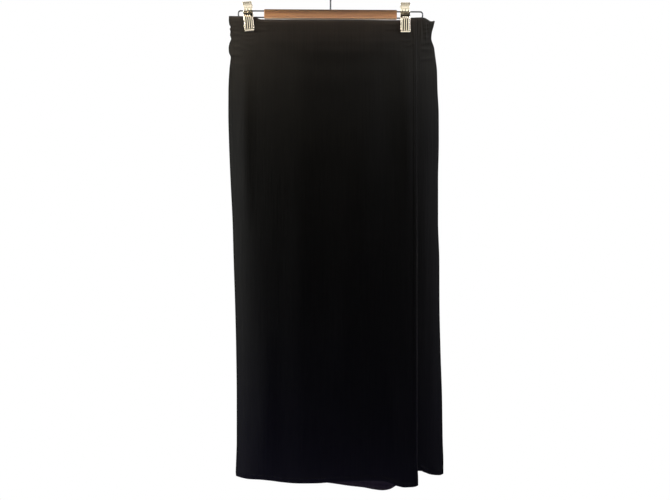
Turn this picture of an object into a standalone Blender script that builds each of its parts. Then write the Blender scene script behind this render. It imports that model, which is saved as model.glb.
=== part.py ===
"""A black wrap-front maxi skirt, hung flat by two spring clips on a wooden hanger.

Metres, +Z up, +X to the right of someone who faces the front, and the front looks along -Y.
The origin is the inner top of the hanger's hook, so the whole object hangs below it.
"""

import math

import bmesh
import bpy
import numpy as np
from mathutils import Matrix, Vector

MM = 0.001
SEAM_GAP = 0.3 * MM  # between pieces that are sewn, seated or pressed together
OVERLAP_GAP = 0.5 * MM  # between the two front panels where one lies on the other

# Cloth
CLOTH = 1.2 * MM  # wall of the panels, a heavy crepe with its turned edges
CASING = 2.4 * MM  # wall of the back waistband: two layers of crepe over elastic
WAIST_Z = -86.0 * MM  # the top corner at the left side seam
CASING_DEPTH = 42.0 * MM  # height of the elastic waistband at the back
WRAP_EDGE_X = 180.6 * MM  # the free edge of the outer front panel
UNDERLAP_EDGE_X = -48.0 * MM  # the hidden edge of the inner front panel
UNDERLAP_RAMP = 60.0 * MM  # from here to that edge the outer panel climbs onto the inner one
RAMP_CLEAR = 6.0 * MM  # and it is up this far before the edge
FORWARD = 5.4 * MM  # the cloth hangs this far in front of the wires, which it passes
CLAMPED = 34.0 * MM  # as far down as the jaws hold the layers flat
OPENING_OUT = 190.0 * MM  # below the jaws, the tube has its full depth after this height
ROUND_SHARE = 0.45  # share of the depth that belongs to the rounded sides
ROUND_POWER = 8
SEAM_FADE = 0.12  # share of the half width over which the folds die away at the side seams
BACK_SAG = 17.0 * MM  # how far the waistband swings back between the clips
BACK_SAG_POWER = 1.5
BAND_DIP = 11.0 * MM  # the waistband's lower seam drops this much, away from the left side
BAND_DIP_WIDTH = 120.0 * MM
STEP_FADE = 60.0 * MM  # below the waistband the back comes forward again over this height
WRAP_COLUMNS, WRAP_CROWDING = 30, 0.35  # the panels' meshes: columns, and how they crowd
BACK_COLUMNS, BACK_CROWDING = 40, 0.25  # towards the side edges
UNDERLAP_HIDDEN_COLUMNS, UNDERLAP_SHOWN_COLUMNS = 8, 7

# Side outline and depth of the tube. drop is counted from WAIST_Z, left and right are X of the
# side seams, front and back are how far the tube bulges each way. All in millimetres.
SIDE_COLUMNS = ("drop", "left", "right", "front", "back")
SIDE_ROWS = (
    (0, -212.5, 218.9, 0, 0),
    (8, -212.3, 217.4, 0, 0),
    (17, -210.8, 214.8, 0, 0),
    (23, -208.7, 213.4, 0, 0),
    (27, -210.0, 212.6, 0, 0),
    (32, -208.6, 211.2, 0, 0),
    (40, -209.3, 210.1, 1, 1),
    (48, -207.9, 210.5, 2, 2),
    (55, -210.2, 212.8, 3, 3),
    (67, -212.3, 216.8, 4, 5),
    (76, -211.6, 217.9, 5, 7),
    (87, -207.9, 219.1, 6, 9),
    (97, -209.6, 220.5, 7, 11),
    (115, -211.6, 222.5, 9, 14),
    (155, -213.1, 223.5, 13, 19),
    (205, -213.4, 225.4, 17, 23),
    (265, -211.8, 226.2, 20, 26),
    (345, -208.3, 224.8, 23, 28),
    (430, -204.1, 223.9, 25, 30),
    (515, -201.8, 227.0, 27, 31),
    (600, -199.3, 227.7, 28, 32),
    (700, -196.7, 230.0, 29, 33),
    (805, -195.7, 233.4, 29, 33),
    (890, -195.7, 234.9, 28, 33),
    (935, -197.3, 236.6, 27, 32),
    (958, -197.6, 235.9, 27, 32),
    (972, -195.3, 233.4, 27, 32),
)

# Edges that aren't level: X, and the drop below WAIST_Z at that X, in millimetres.
TOP_EDGE = (
    (-214, 0.0),
    (-188, 0.4),
    (-161, 1.4),
    (-146, 7.0),
    (-60, 7.8),
    (45, 8.2),
    (133, 9.3),
    (148, 8.6),
    (165, 7.2),
    (174, 4.8),
    (181, 3.2),
    (189, 3.0),
    (197, 3.8),
    (203, 6.8),
    (211, 11.2),
    (219, 10.2),
)
WAISTBAND_TOP = (
    (-214, 0.0),
    (-188, 0.6),
    (-161, 3.0),
    (-144, 8.5),
    (-100, 10.5),
    (60, 11.5),
    (133, 9.5),
    (168, 6.2),
    (189, 3.4),
    (204, 6.9),
    (211, 11.2),
    (219, 10.2),
)
WRAP_HEM = (
    (-198, 964.0),
    (-186, 966.5),
    (-170, 968.5),
    (-150, 969.5),
    (-125, 971.0),
    (-100, 973.0),
    (-70, 974.0),
    (-30, 974.0),
    (0, 972.5),
    (40, 970.5),
    (80, 969.5),
    (108, 970.5),
    (122, 974.0),
    (138, 981.0),
    (155, 984.5),
    (170, 984.3),
    (178, 983.0),
    (182, 981.0),
)
UNDERLAP_HEM = (
    (-48, 946.0),
    (60, 948.0),
    (178, 949.5),
    (188, 950.5),
    (196, 954.5),
    (209, 960.0),
    (222, 962.0),
    (230, 962.7),
    (236, 960.5),
)
BACK_HEM = (
    (-198, 964.0),
    (-170, 970.5),
    (-130, 975.0),
    (-90, 979.0),
    (-50, 982.5),
    (0, 987.5),
    (40, 994.0),
    (70, 997.0),
    (95, 1001.5),
    (110, 1003.3),
    (123, 1001.5),
    (138, 993.0),
    (160, 973.0),
    (178, 957.0),
    (196, 951.5),
    (215, 956.5),
    (236, 960.5),
)

# Soft folds: X of the fold at its top, how far it leans to +X by its foot, half width, height
# (outwards if positive), the drop where it starts and where it has died away. In millimetres.
FOLD_COLUMNS = ("x", "lean", "half_width", "height", "start", "end")
FOLD_RISE, FOLD_FALL = 0.12, 0.25  # shares of its length where it is full and where it fades
FRONT_FOLDS = (
    (-150, 6, 26, -1.6, 60, 560),
    (-96, 4, 30, 1.4, 90, 700),
    (-30, 10, 42, -1.8, 260, 990),
    (62, -8, 36, 1.6, 180, 900),
    (118, 6, 24, -1.4, 70, 480),
)
BACK_FOLDS = (
    (-178, 4, 15, 2.4, 46, 420),
    (-146, -6, 17, 3.6, 42, 600),
    (-108, 4, 15, 3.0, 42, 380),
    (-70, -3, 18, 4.6, 42, 760),
    (-28, 6, 16, 3.4, 42, 450),
    (10, -5, 19, 4.8, 42, 820),
    (52, 4, 16, 3.2, 42, 400),
    (90, 8, 18, 4.2, 42, 680),
    (128, -4, 15, 3.0, 42, 360),
    (164, 5, 17, 3.6, 42, 560),
    (198, 3, 13, 2.0, 46, 340),
)
GATHERS = 30  # gathers across the back waistband
GATHER_HEIGHT = 1.1 * MM
GATHER_COLUMNS = 3  # columns of the mesh in each gather
CLIP_FADE = 9.0 * MM  # beside a clip the gathers come up over this width
PRESSED_FROM_X, PRESSED_TO_DROP = 134.0 * MM, 24.0 * MM  # here the wire loops press the gathers
PRESSED_SHARE = 0.35
WAISTBAND_ROWS = (0, 8, 17, 23, 32)  # drops of the waistband's rows, in millimetres

# Hanger
BAR_LENGTH = 279.0 * MM
BAR_HEIGHT = 22.0 * MM
BAR_THICKNESS = 13.0 * MM
BAR_ROUNDING = 2.5 * MM
BAR_BOTTOM_Z = -92.0 * MM
WIRE = 2.8 * MM  # wire loops
UPPER_WIRE_Z = -75.8 * MM
LOOP_HEIGHT = 13.5 * MM  # between the loop's two wires
LOOP_END_X = 194.0 * MM
LOOP_BEND = 5.0 * MM
WIRE_SEAT = 14.0 * MM  # depth of the wires in the bar's ends
HOOK_WIRE = 3.6 * MM
HOOK_INNER = 20.0 * MM  # inner radius of the hook
HOOK_START, HOOK_END = -55.0, 196.0  # degrees round the hook's centre, from +X
HOOK_STRAIGHT_TOP_Z = -54.0 * MM  # the straight stem ends here
HOOK_SEAT = 12.0 * MM  # depth of the stem in the bar
HOOK_BEND = 0.45  # how long the stem's and the arc's directions last in the bend between them
HOOK_BEND_STEPS, HOOK_ARC_STEPS, LOOP_BEND_STEPS = 7, 24, 5
HOLE_CLEARANCE = SEAM_GAP

# Clips
CLIP_WIDTH = 21.0 * MM
JAW_SHEET = 0.9 * MM
RIBS = 4
RIB_HEIGHT = 1.0 * MM
RIB_SAMPLES = 4
SPRING_RADIUS = 6.0 * MM
SPRING_BORE = 2.0 * MM
SPRING_LENGTH = 17.0 * MM
# A jaw in side view: drop below the upper wire, how much of the grip's reach counts there, the
# distance out from the wires' plane, and how much of the rib height shows. In millimetres.
JAW_COLUMNS = ("drop", "grip", "out", "rib")
JAW_ROWS = (
    (-16.0, 0.0, 13.6, 0.0),
    (-7.0, 0.0, 9.4, 0.0),
    (0.0, 0.0, 6.8, 0.0),
    (8.0, 0.5, 6.4, 0.0),
    (13.0, 0.8, 5.7, 0.6),
    (20.0, 1.0, 3.7, 1.0),
    (28.0, 1.0, 2.0, 1.0),
    (37.0, 1.0, 1.1, 0.8),
    (39.3, 1.0, 1.7, 0.0),
    (41.4, 1.0, 1.6, 0.0),
    (43.4, 1.0, 0.0, 0.0),
)
# Clip: name, X, lean in degrees, how much longer than the table, front panels in the jaws.
CLIPS = (
    ("clip_left", -172.6, 3.0, 0.0, 1),
    ("clip_right", 157.6, 0.0, 2.6, 2),
)


# ---------------------------------------------------------------- scene and materials


def clear_scene():
    for scene_object in list(bpy.data.objects):
        bpy.data.objects.remove(scene_object, do_unlink=True)


def new_collection(name):
    collection = bpy.data.collections.new(name)
    bpy.context.scene.collection.children.link(collection)
    return collection


def principled(name, color, roughness, metallic=0.0):
    material = bpy.data.materials.new(name)
    material.use_nodes = True
    shader = material.node_tree.nodes["Principled BSDF"]
    shader.inputs["Base Color"].default_value = (*color, 1.0)
    shader.inputs["Roughness"].default_value = roughness
    shader.inputs["Metallic"].default_value = metallic
    return material


def place(scene_object, collection, material):
    collection.objects.link(scene_object)
    scene_object.data.materials.clear()
    scene_object.data.materials.append(material)
    return scene_object


def shade(mesh):
    mesh.shade_smooth()
    mesh.set_sharp_from_angle(angle=math.radians(35))


# ---------------------------------------------------------------- tables


def smooth(t):
    t = min(1.0, max(0.0, t))
    return t * t * (3.0 - 2.0 * t)


def column(columns, rows, name):
    """One named column of a table of millimetres, in metres."""
    return np.array([row[columns.index(name)] for row in rows], float) * MM


SIDE = {name: column(SIDE_COLUMNS, SIDE_ROWS, name) for name in SIDE_COLUMNS}


def side(name, drop):
    return float(np.interp(drop, SIDE["drop"], SIDE[name]))


def edge_drop(edge, x):
    xs, drops = zip(*edge)
    return float(np.interp(x / MM, xs, drops)) * MM


# ---------------------------------------------------------------- the form of the cloth


def tube_profile(across):
    """0 at the side seams, 1 in the middle: a gentle crown whose sides round away."""
    crown = 1.0 - across * across
    rounded = 1.0 - abs(across) ** ROUND_POWER
    return (1.0 - ROUND_SHARE) * crown + ROUND_SHARE * rounded


def folds(table, x, drop):
    """The soft folds' height at a point."""
    total = 0.0
    for row in table:
        fold = dict(zip(FOLD_COLUMNS, row))
        along = (drop / MM - fold["start"]) / (fold["end"] - fold["start"])
        if 0.0 < along < 1.0:
            centre = fold["x"] + fold["lean"] * along
            off = (x / MM - centre) / fold["half_width"]
            fall = 1.0 - smooth((along - FOLD_FALL) / (1.0 - FOLD_FALL))
            fade = smooth(along / FOLD_RISE) * fall
            total += fold["height"] * fade * math.exp(-off * off) * MM
    return total


def inner_clip_edges():
    """X of the two clips' inner sides, between which the back swings free."""
    left, right = CLIPS
    return left[1] * MM + CLIP_WIDTH / 2, right[1] * MM - CLIP_WIDTH / 2


def across_tube(x, drop):
    left, right = side("left", drop), side("right", drop)
    return (2.0 * x - left - right) / (right - left)


def front_y(x, drop):
    """Middle surface of the front where it lies next to the back."""
    across = min(1.0, max(-1.0, across_tube(x, drop)))
    bulge = side("front", drop) * tube_profile(across)
    fade_at_seams = smooth((1.0 - abs(across)) / SEAM_FADE)
    bulge += folds(FRONT_FOLDS, x, drop) * fade_at_seams
    return -FORWARD - (CLOTH + SEAM_GAP) / 2 - max(0.0, bulge)


def climb(x):
    """How far the outer front panel lies in front of the inner one's surface."""
    start = UNDERLAP_EDGE_X - UNDERLAP_RAMP
    return (CLOTH + OVERLAP_GAP) * smooth((x - start) / (UNDERLAP_RAMP - RAMP_CLEAR))


def wrap_y(x, drop):
    return front_y(x, drop) - climb(x)


def back_swing(x, drop):
    """How far the back lies behind the plane in which front and back are sewn together."""
    low, high = inner_clip_edges()
    off = (2.0 * x - low - high) / (high - low)
    swing = BACK_SAG * max(0.0, 1.0 - off * off) ** BACK_SAG_POWER
    across = min(1.0, max(-1.0, across_tube(x, drop)))
    tube = side("back", drop) * tube_profile(across)
    opened = smooth((drop - CLAMPED) / OPENING_OUT)
    return (1.0 - opened) * max(swing, tube) + opened * tube


def back_y(x, drop):
    across = min(1.0, max(-1.0, across_tube(x, drop)))
    fade_at_seams = smooth((1.0 - abs(across)) / SEAM_FADE)
    below_band = drop - CASING_DEPTH - BAND_DIP
    step = (CASING - CLOTH) / 2 * (1.0 - smooth(below_band / STEP_FADE))
    ridge = folds(BACK_FOLDS, x, drop) * fade_at_seams
    return -FORWARD + (CLOTH + SEAM_GAP) / 2 + step + back_swing(x, drop) + ridge


def waistband_seam(x):
    """The drop of the seam between the waistband and the back panel."""
    from_left = x - SIDE["left"][0]
    return CASING_DEPTH + BAND_DIP * smooth(from_left / BAND_DIP_WIDTH)


def near_clip(x):
    """1 where a clip holds the cloth flat, 0 away from the clips."""
    held = 0.0
    for _, clip_x, *_ in CLIPS:
        off = abs(x - clip_x * MM) - CLIP_WIDTH / 2
        held = max(held, 1.0 - smooth(off / CLIP_FADE))
    return held


def waistband_y(x, drop):
    middle = -FORWARD + (CASING + SEAM_GAP) / 2 + back_swing(x, drop)
    wave = 0.5 - 0.5 * math.cos(2.0 * math.pi * GATHERS * (across_tube(x, drop) + 1.0) / 2)
    free = 1.0 - near_clip(x)
    pressed = abs(x) > PRESSED_FROM_X and drop < PRESSED_TO_DROP
    return middle + GATHER_HEIGHT * wave * free * (PRESSED_SHARE if pressed else 1.0)


# ---------------------------------------------------------------- cloth pieces


def spaced(count, crowding):
    """Fractions from 0 to 1, closer together at the ends."""
    even = np.linspace(0.0, 1.0, count + 1)
    cosine = 0.5 - 0.5 * np.cos(math.pi * even)
    return (1.0 - crowding) * even + crowding * cosine


def cloth_panel(name, left, right, depth, top, foot, fractions, drops, wall, collection, material):
    """A panel between two side lines and two edge lines, as a grid with a Solidify modifier.

    left and right give X at a drop, depth gives Y at a point, top and foot give the drop of the
    panel's upper and lower edge at an X, and drops are the heights of its rows.
    """
    bm = bmesh.new()
    columns, rows = len(fractions) - 1, len(drops) - 1
    bmesh.ops.create_grid(bm, x_segments=columns, y_segments=rows, size=1.0)
    span = drops[-1] - drops[0]
    for vertex in bm.verts:
        i = round((vertex.co.x + 1.0) / 2 * columns)
        j = rows - round((vertex.co.y + 1.0) / 2 * rows)
        nominal = drops[j]
        x = left(nominal) + (right(nominal) - left(nominal)) * fractions[i]
        along = (nominal - drops[0]) / span
        drop = top(x) + (foot(x) - top(x)) * along
        x = left(drop) + (right(drop) - left(drop)) * fractions[i]
        vertex.co = Vector((x, depth(x, drop), WAIST_Z - drop))
    mesh = bpy.data.meshes.new(name)
    bm.to_mesh(mesh)
    bm.free()
    panel = bpy.data.objects.new(name, mesh)
    wall_modifier = panel.modifiers.new("wall", "SOLIDIFY")
    wall_modifier.thickness = wall
    wall_modifier.offset = 0.0
    shade(mesh)
    return place(panel, collection, material)


def rows_from(start):
    """The drops of a panel's rows: start, then the side table's rows below it."""
    return [start] + [drop for drop in SIDE["drop"] if drop > start + 2.0 * MM]


def make_cloth(collection, material):
    cloth_panel(
        "front_wrap_panel",
        lambda drop: side("left", drop),
        lambda drop: WRAP_EDGE_X,
        wrap_y,
        lambda x: edge_drop(TOP_EDGE, x),
        lambda x: edge_drop(WRAP_HEM, x),
        spaced(WRAP_COLUMNS, WRAP_CROWDING),
        rows_from(0.0),
        CLOTH,
        collection,
        material,
    )
    cloth_panel(
        "front_underlap_panel",
        lambda drop: UNDERLAP_EDGE_X,
        lambda drop: side("right", drop),
        front_y,
        lambda x: edge_drop(TOP_EDGE, x),
        lambda x: edge_drop(UNDERLAP_HEM, x),
        underlap_fractions(),
        rows_from(0.0),
        CLOTH,
        collection,
        material,
    )
    cloth_panel(
        "back_panel",
        lambda drop: side("left", drop),
        lambda drop: side("right", drop),
        back_y,
        lambda x: waistband_seam(x) + SEAM_GAP,
        lambda x: edge_drop(BACK_HEM, x),
        spaced(BACK_COLUMNS, BACK_CROWDING),
        rows_from(CASING_DEPTH),
        CLOTH,
        collection,
        material,
    )
    cloth_panel(
        "back_waistband",
        lambda drop: side("left", drop),
        lambda drop: side("right", drop),
        waistband_y,
        lambda x: edge_drop(WAISTBAND_TOP, x),
        waistband_seam,
        np.linspace(0.0, 1.0, GATHERS * GATHER_COLUMNS + 1),
        [drop * MM for drop in WAISTBAND_ROWS] + [CASING_DEPTH],
        CASING,
        collection,
        material,
    )


def underlap_fractions():
    """Few columns where the inner front panel is hidden, more where it shows at the side."""
    shows_from = (WRAP_EDGE_X - UNDERLAP_EDGE_X) / (SIDE["right"].mean() - UNDERLAP_EDGE_X)
    hidden = np.linspace(0.0, shows_from, UNDERLAP_HIDDEN_COLUMNS + 1)[:-1]
    return np.concatenate([hidden, np.linspace(shows_from, 1.0, UNDERLAP_SHOWN_COLUMNS + 1)])


# ---------------------------------------------------------------- hanger


def wire_object(name, points, diameter, collection, material):
    curve = bpy.data.curves.new(name, "CURVE")
    curve.dimensions = "3D"
    spline = curve.splines.new("POLY")
    spline.points.add(len(points) - 1)
    for point, position in zip(spline.points, points):
        point.co = (*position, 1.0)
    curve.bevel_depth = diameter / 2
    curve.bevel_resolution = 2
    curve.use_fill_caps = True
    wire = bpy.data.objects.new(name, curve)
    return place(wire, collection, material)


def loop_points(way):
    """A wire loop: out along the upper wire, round the end and back along the lower one."""
    start = BAR_LENGTH / 2 - WIRE_SEAT + SEAM_GAP
    lower_z = UPPER_WIRE_Z - LOOP_HEIGHT
    points = [(way * start, 0.0, UPPER_WIRE_Z)]
    for centre_z, first in ((UPPER_WIRE_Z - LOOP_BEND, 90), (lower_z + LOOP_BEND, 0)):
        for step in range(LOOP_BEND_STEPS + 1):
            angle = math.radians(first - 90 * step / LOOP_BEND_STEPS)
            x = LOOP_END_X - LOOP_BEND + LOOP_BEND * math.cos(angle)
            points.append((way * x, 0.0, centre_z + LOOP_BEND * math.sin(angle)))
    points.append((way * start, 0.0, lower_z))
    return points


def hook_points():
    """A straight stem, an easy bend to the side and the hook's arc round its centre."""
    radius = HOOK_INNER + HOOK_WIRE / 2
    centre_z = -HOOK_INNER
    start, end = math.radians(HOOK_START), math.radians(HOOK_END)
    foot = Vector((0.0, 0.0, BAR_BOTTOM_Z + BAR_HEIGHT - HOOK_SEAT + SEAM_GAP))
    neck = Vector((0.0, 0.0, HOOK_STRAIGHT_TOP_Z))
    arc_start = Vector((radius * math.cos(start), 0.0, centre_z + radius * math.sin(start)))
    heading = Vector((-math.sin(start), 0.0, math.cos(start)))
    reach = (arc_start - neck).length * HOOK_BEND
    handles = (neck, neck + Vector((0, 0, reach)), arc_start - heading * reach, arc_start)
    points = [foot]
    for step in range(HOOK_BEND_STEPS):
        t = step / HOOK_BEND_STEPS
        weights = ((1 - t) ** 3, 3 * t * (1 - t) ** 2, 3 * t * t * (1 - t), t**3)
        points.append(sum((h * w for h, w in zip(handles, weights)), Vector()))
    for step in range(HOOK_ARC_STEPS + 1):
        angle = start + (end - start) * step / HOOK_ARC_STEPS
        points.append(Vector((radius * math.cos(angle), 0.0, centre_z + radius * math.sin(angle))))
    return points


def hole_cutter(name, position, turn, radius, depth, cutters):
    """A cylinder along its own Z that is centred on position."""
    mesh = bpy.data.meshes.new(name)
    bm = bmesh.new()
    bmesh.ops.create_cone(
        bm, cap_ends=True, segments=12, radius1=radius, radius2=radius, depth=2 * depth
    )
    bm.to_mesh(mesh)
    bm.free()
    cutter = bpy.data.objects.new(name, mesh)
    cutter.location = position
    cutter.rotation_euler = turn
    cutter.display_type = "WIRE"
    cutter.hide_render = True
    cutters.objects.link(cutter)
    return cutter


def make_bar(collection, cutters, material):
    mesh = bpy.data.meshes.new("hanger_bar")
    bm = bmesh.new()
    bmesh.ops.create_cube(bm, size=1.0)
    bmesh.ops.scale(bm, vec=(BAR_LENGTH, BAR_THICKNESS, BAR_HEIGHT), verts=bm.verts)
    bm.to_mesh(mesh)
    bm.free()
    bar = bpy.data.objects.new("hanger_bar", mesh)
    bar.location = (0.0, 0.0, BAR_BOTTOM_Z + BAR_HEIGHT / 2)
    rounding = bar.modifiers.new("rounding", "BEVEL")
    rounding.width = BAR_ROUNDING
    rounding.segments = 3
    wire_hole = WIRE / 2 + HOLE_CLEARANCE
    holes = []
    for way in (-1, 1):
        for level, z in (("upper", UPPER_WIRE_Z), ("lower", UPPER_WIRE_Z - LOOP_HEIGHT)):
            holes.append(
                hole_cutter(
                    f"hole_{level}_{'left' if way < 0 else 'right'}",
                    (way * BAR_LENGTH / 2, 0.0, z),
                    (0.0, math.pi / 2, 0.0),
                    wire_hole,
                    WIRE_SEAT,
                    cutters,
                )
            )
    top = (0.0, 0.0, BAR_BOTTOM_Z + BAR_HEIGHT)
    stem_hole = HOOK_WIRE / 2 + HOLE_CLEARANCE
    holes.append(hole_cutter("hole_hook", top, (0, 0, 0), stem_hole, HOOK_SEAT, cutters))
    for hole in holes:
        cut = bar.modifiers.new(hole.name, "BOOLEAN")
        cut.operation = "DIFFERENCE"
        cut.object = hole
    shade(mesh)
    return place(bar, collection, material)


# ---------------------------------------------------------------- clips


def jaw_mesh(name, facing, reach, longer):
    """A stamped jaw of ribbed sheet. facing is -1 for the front jaw and 1 for the back one."""
    rows = [dict(zip(JAW_COLUMNS, row)) for row in JAW_ROWS]
    columns = RIBS * RIB_SAMPLES + 1
    bm = bmesh.new()
    bmesh.ops.create_grid(bm, x_segments=columns - 1, y_segments=len(rows) - 1, size=1.0)
    for vertex in bm.verts:
        i = round((vertex.co.x + 1.0) / 2 * (columns - 1))
        row = rows[len(rows) - 1 - round((vertex.co.y + 1.0) / 2 * (len(rows) - 1))]
        wave = 0.5 - 0.5 * math.cos(2.0 * math.pi * i / RIB_SAMPLES)
        out = row["out"] * MM + row["grip"] * reach + RIB_HEIGHT * row["rib"] * wave
        drop = row["drop"] * MM + longer * max(0.0, row["drop"]) / JAW_ROWS[-1][0]
        x = CLIP_WIDTH * (i / (columns - 1) - 0.5)
        vertex.co = Vector((x, facing * out - FORWARD * row["grip"], -drop))
    if facing > 0:
        bmesh.ops.reverse_faces(bm, faces=bm.faces)
    mesh = bpy.data.meshes.new(name)
    bm.to_mesh(mesh)
    bm.free()
    shade(mesh)
    return mesh


def spring_mesh(name):
    """The coiled spring on the wire, as a plain sleeve: a profile turned about the wire."""
    half = SPRING_LENGTH / 2
    profile = ((SPRING_BORE, half), (SPRING_RADIUS, half), (SPRING_RADIUS, -half), (SPRING_BORE, -half))
    bm = bmesh.new()
    corners = [bm.verts.new((x, 0.0, z)) for x, z in profile]
    edges = [bm.edges.new((corners[i], corners[(i + 1) % 4])) for i in range(4)]
    bmesh.ops.spin(
        bm,
        geom=corners + edges,
        cent=(0, 0, 0),
        axis=(0, 0, 1),
        angle=2 * math.pi,
        steps=16,
        use_merge=True,
    )
    bmesh.ops.recalc_face_normals(bm, faces=bm.faces)
    bmesh.ops.rotate(bm, matrix=Matrix.Rotation(math.pi / 2, 3, "Y"), verts=bm.verts)
    mesh = bpy.data.meshes.new(name)
    bm.to_mesh(mesh)
    bm.free()
    shade(mesh)
    return mesh


def make_clip(name, x, lean, longer, layers, collection, materials):
    """A clip on an empty at the upper wire, which carries its two jaws and its spring."""
    carrier = bpy.data.objects.new(name + "_carrier", None)
    carrier.location = (x * MM, 0.0, UPPER_WIRE_Z)
    carrier.rotation_euler = (0.0, -math.radians(lean), 0.0)
    collection.objects.link(carrier)
    seat = SEAM_GAP + JAW_SHEET / 2
    front_reach = CLOTH + SEAM_GAP / 2 + (layers - 1) * climb(WRAP_EDGE_X) + seat
    back_reach = CASING + SEAM_GAP / 2 + seat
    pieces = (
        ("_front_jaw", jaw_mesh(name + "_front_jaw", -1, front_reach, longer * MM)),
        ("_back_jaw", jaw_mesh(name + "_back_jaw", 1, back_reach, longer * MM)),
        ("_spring", spring_mesh(name + "_spring")),
    )
    for ending, mesh in pieces:
        piece = bpy.data.objects.new(name + ending, mesh)
        piece.parent = carrier
        if ending != "_spring":
            wall = piece.modifiers.new("sheet", "SOLIDIFY")
            wall.thickness = JAW_SHEET
            wall.offset = 0.0
        place(piece, collection, materials["spring" if ending == "_spring" else "jaw"])


# ---------------------------------------------------------------- the object


def main():
    clear_scene()
    skirt = new_collection("maxi_skirt_on_hanger")
    cutters = new_collection("cutters")
    crepe = principled("black crepe", (0.008, 0.008, 0.009), 0.82)
    wood = principled("lacquered beech", (0.27, 0.13, 0.055), 0.4)
    wire = principled("galvanised steel wire", (0.42, 0.42, 0.43), 0.35, 1.0)
    nickel = principled("nickel plated steel", (0.62, 0.57, 0.47), 0.25, 1.0)
    make_cloth(skirt, crepe)
    make_bar(skirt, cutters, wood)
    wire_object("wire_loop_left", loop_points(-1), WIRE, skirt, wire)
    wire_object("wire_loop_right", loop_points(1), WIRE, skirt, wire)
    wire_object("hanger_hook", hook_points(), HOOK_WIRE, skirt, wire)
    for name, x, lean, longer, layers in CLIPS:
        make_clip(name, x, lean, longer, layers, skirt, {"jaw": nickel, "spring": wire})


main()
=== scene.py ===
import math

import bmesh
import bpy
import numpy as np
from mathutils import Matrix, Vector


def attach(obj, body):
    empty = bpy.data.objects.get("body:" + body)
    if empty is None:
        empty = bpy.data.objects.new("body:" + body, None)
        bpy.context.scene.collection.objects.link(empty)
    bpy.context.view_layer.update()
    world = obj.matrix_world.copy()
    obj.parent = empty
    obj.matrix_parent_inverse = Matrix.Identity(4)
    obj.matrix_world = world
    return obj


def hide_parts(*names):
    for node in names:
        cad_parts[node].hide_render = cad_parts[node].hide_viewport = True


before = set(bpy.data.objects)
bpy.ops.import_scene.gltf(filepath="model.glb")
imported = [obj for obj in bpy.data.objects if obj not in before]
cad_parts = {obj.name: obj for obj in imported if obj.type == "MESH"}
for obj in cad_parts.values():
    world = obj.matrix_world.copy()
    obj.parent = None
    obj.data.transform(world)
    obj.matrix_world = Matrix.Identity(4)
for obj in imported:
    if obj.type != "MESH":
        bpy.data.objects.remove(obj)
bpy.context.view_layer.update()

# A black wrap-front maxi skirt on a clip hanger. Sizes are millimetres in the dictionaries
# and metres in the scene. "drop" is always counted down from the waist's left corner.
mm = 0.001

skirt = {
    "waistZ": -86,  # height of the waist's left corner
    "forward": 5.4,  # the cloth hangs this far in front of the wires
    "layer": 1.2,  # room for one layer of cloth
    "turnedWall": 1.6,  # thickness where cloth is turned double
    "cloth": 0.5,  # share of turnedWall for a single layer
    "casing": 2.4,  # thickness of the waistband
    "seamGap": 0.3,
    "seamRound": 1.3,  # the layers close on each other this near a side seam
    "sewnTight": 0.03,  # share of their distance left in the seam itself
    "seamFlat": 5,  # creases and gathers die away this near a side seam
    "seamFade": 0.12,  # the same for folds, as a share of the half width
    "overlapGap": 0.5,
    "wrapEdge": 180.4,  # X of the outer front panel's free edge
    "cornerFlare": 2.2,  # how far that edge swings out at its foot
    "flareStart": 925,
    "flareHeight": 45,
    "underlapEdge": -48,  # X of the inner front panel's hidden edge
    "underlapRamp": 60,  # the outer panel climbs onto it over this width
    "rampClear": 6,  # and is up this far before it
    "clamped": 34,  # the jaws hold the layers flat to here
    "openingOut": 190,  # and the tube opens out over this height
    "roundShare": 0.45,  # share of the tube's depth in its rounded sides
    "roundPower": 8,
    "backSag": 17,  # swing of the waistband between the clips
    "backSagPower": 1.5,
    "casingDepth": 42,
    "bandDip": 11,  # how far its lower seam drops, away from the left side
    "bandDipStart": -212.5,
    "bandDipWidth": 120,
    "stepFade": 60,  # the back comes forward again over this height below the waistband
    "hem": 10,  # depths of the turned hems
    "freeHem": 7,
    "topHem": 6,
    "seamAllowance": 9,
    "stitchInset": 1.5,  # from a turned edge's inner line to its stitches
}

# where each clip grips, its lean in degrees, how much longer its jaws are than their table of
# rows, how many front layers it holds and where across it the first groove is
clips = {
    "left": {"x": -173.6, "lean": 5.2, "longer": 1.6, "layers": 1, "firstGroove": -9.5},
    "right": {"x": 156.9, "lean": 0, "longer": 2.6, "layers": 2, "firstGroove": -8.3},
}
clipWidth = 19.2

# drop, left and right side seams, and how far the tube bulges to the front and to the back
sideRows = (
    (0, -212.9, 219.5, 0, 0), (8, -213.1, 219, 0, 0), (17, -212.2, 217.1, 0, 0),
    (23, -209.4, 215.6, 0, 0), (27, -211.1, 214.4, 0, 0), (32, -209.8, 213, 0, 0),
    (40, -210.5, 211.7, 1, 1), (48, -208.7, 211.3, 2, 2), (55, -211.3, 213.4, 3, 3),
    (67, -213.8, 217.5, 4, 5), (76, -213.3, 218.8, 5, 7), (87, -209.5, 220.2, 6, 9),
    (97, -210.6, 221.6, 7, 11), (115, -212.4, 223.6, 9, 14), (155, -214.3, 224.7, 13, 19),
    (205, -214.5, 227.2, 17, 23), (265, -213.1, 227.4, 20, 26), (345, -209.9, 225.9, 23, 28),
    (430, -205.7, 225.9, 25, 30), (515, -203.3, 228.5, 27, 31), (600, -200.5, 228.8, 28, 32),
    (700, -198.1, 230.9, 29, 33), (805, -196.9, 234.3, 29, 33), (890, -196.9, 235.5, 28, 33),
    (935, -198.2, 237, 27, 32), (958, -199, 236.9, 27, 32), (972, -196.7, 234.3, 27, 32),
)

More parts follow.
